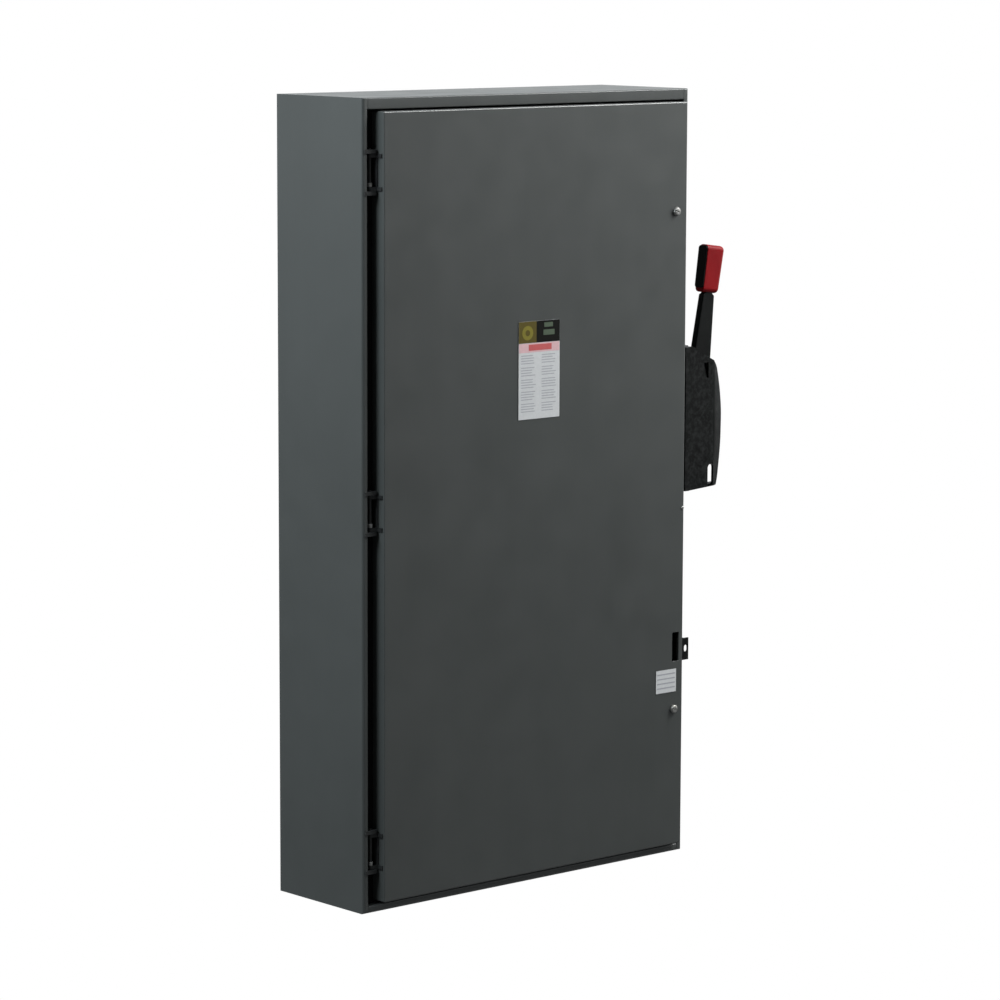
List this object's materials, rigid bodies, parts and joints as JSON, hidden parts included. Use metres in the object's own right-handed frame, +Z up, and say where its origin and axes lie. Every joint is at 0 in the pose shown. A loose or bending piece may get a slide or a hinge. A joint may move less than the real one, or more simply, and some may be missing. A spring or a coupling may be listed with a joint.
{
  "type": "ac disconnect box",
  "caption": "Wall-mounted steel safety switch: hinged door, side operating handle, blades and fuses inside, padlock hasp.",
  "frame": {"origin": "centre of the rear face, which lies against the wall", "axes": "+Z up, +Y into the wall, -Y towards the user, +X towards the handle"},
  "size_m": [0.7972, 0.2295, 1.276],
  "materials": {
    "grey_paint": "satin grey enamel",
    "black_paint": "satin black",
    "seal_foam": "closed-cell foam",
    "grip_black": "moulded black",
    "grip_red": "moulded red",
    "plated_steel": "zinc plated",
    "moulded_base": "red-brown glass polyester",
    "copper": "bare copper",
    "aluminium": "satin",
    "arc_fibre": "vulcanised fibre",
    "fuse_tube": "glass melamine tube",
    "clear_shield": "clear polycarbonate",
    "label": "printed film"
  },
  "bodies": {
    "root": {"enclosure_shell": "grey_paint", "rear_panel": "grey_paint", "door_seal": "seal_foam", "enclosure_hasp": "black_paint", "handle_cover": "black_paint", "handle_bracket": "black_paint", "handle_pivot_pin": "plated_steel", "mounting_pan": "plated_steel", "line_base": "moulded_base", "load_base": "moulded_base", "mechanism_plate": "plated_steel", "line_shield": "clear_shield", "ground_bar": "aluminium", "hinge_frame_leaf_top": "black_paint", "hinge_frame_leaf_middle": "black_paint", "hinge_frame_leaf_bottom": "black_paint", "hinge_pin_top": "black_paint", "hinge_pin_middle": "black_paint", "hinge_pin_bottom": "black_paint", "line_jaw_left": "copper", "line_lug_left": "aluminium", "arc_chute_left": "arc_fibre", "hinge_terminal_left": "copper", "fuse_left": "fuse_tube", "load_terminal_left": "copper", "line_jaw_centre": "copper", "line_lug_centre": "aluminium", "arc_chute_centre": "arc_fibre", "hinge_terminal_centre": "copper", "fuse_centre": "fuse_tube", "load_terminal_centre": "copper", "line_jaw_right": "copper", "line_lug_right": "aluminium", "arc_chute_right": "arc_fibre", "hinge_terminal_right": "copper", "fuse_right": "fuse_tube", "load_terminal_right": "copper"},
    "door": {"door_panel": "grey_paint", "door_hasp": "black_paint", "main_label": "label", "rating_label": "label", "door_catch": "plated_steel", "hinge_door_leaf_top": "black_paint", "hinge_door_leaf_middle": "black_paint", "hinge_door_leaf_bottom": "black_paint"},
    "upper_latch": {"latch_head_upper": "plated_steel", "latch_cam_upper": "plated_steel"},
    "lower_latch": {"latch_head_lower": "plated_steel", "latch_cam_lower": "plated_steel"},
    "handle": {"handle_lever": "black_paint", "grip_core": "grip_black", "grip_cap": "grip_red"},
    "blade_carrier": {"crossbar": "moulded_base", "crossbar_spring": "plated_steel", "blade_left": "copper", "blade_centre": "copper", "blade_right": "copper"},
    "operator_slide": {"operator_slide": "plated_steel"},
    "interlock": {"interlock_hook": "plated_steel"}
  },
  "joints": [
    {"name": "door_hinge", "type": "hinge", "parent": "root", "child": "door", "pos_m": [-0.3275, -0.205, 0], "axis": [0, 0, -1], "range_deg": [0, 105]},
    {"name": "upper_latch_turn", "type": "hinge", "parent": "door", "child": "upper_latch", "pos_m": [0.3069, -0.21, 0.4388], "axis": [0, 1, 0], "range_deg": [0, 90]},
    {"name": "lower_latch_turn", "type": "hinge", "parent": "door", "child": "lower_latch", "pos_m": [0.3109, -0.21, -0.3903], "axis": [0, 1, 0], "range_deg": [0, 90]},
    {"name": "handle_swing", "type": "hinge", "parent": "root", "child": "handle", "pos_m": [0.3906, -0.184, 0.092], "axis": [0, 1, 0], "range_deg": [0, 164]},
    {"name": "crossbar_turn", "type": "hinge", "parent": "root", "child": "blade_carrier", "pos_m": [0.2, -0.078, 0.115], "axis": [1, 0, 0], "range_deg": [0, 58.5]},
    {"name": "slide_travel", "type": "slide", "parent": "root", "child": "operator_slide", "axis": [0, 0, 1], "range_m": [-0.0343, 0]},
    {"name": "interlock_swing", "type": "hinge", "parent": "root", "child": "interlock", "pos_m": [0.2483, -0.12, 0.018], "axis": [-1, 0, 0], "range_deg": [0, 18]}
  ],
  "couplings": [
    {"joint": "crossbar_turn", "follows": "handle_swing", "ratio": 0.35366},
    {"joint": "slide_travel", "follows": "handle_swing", "m_per_rad": -0.011878}
  ]
}
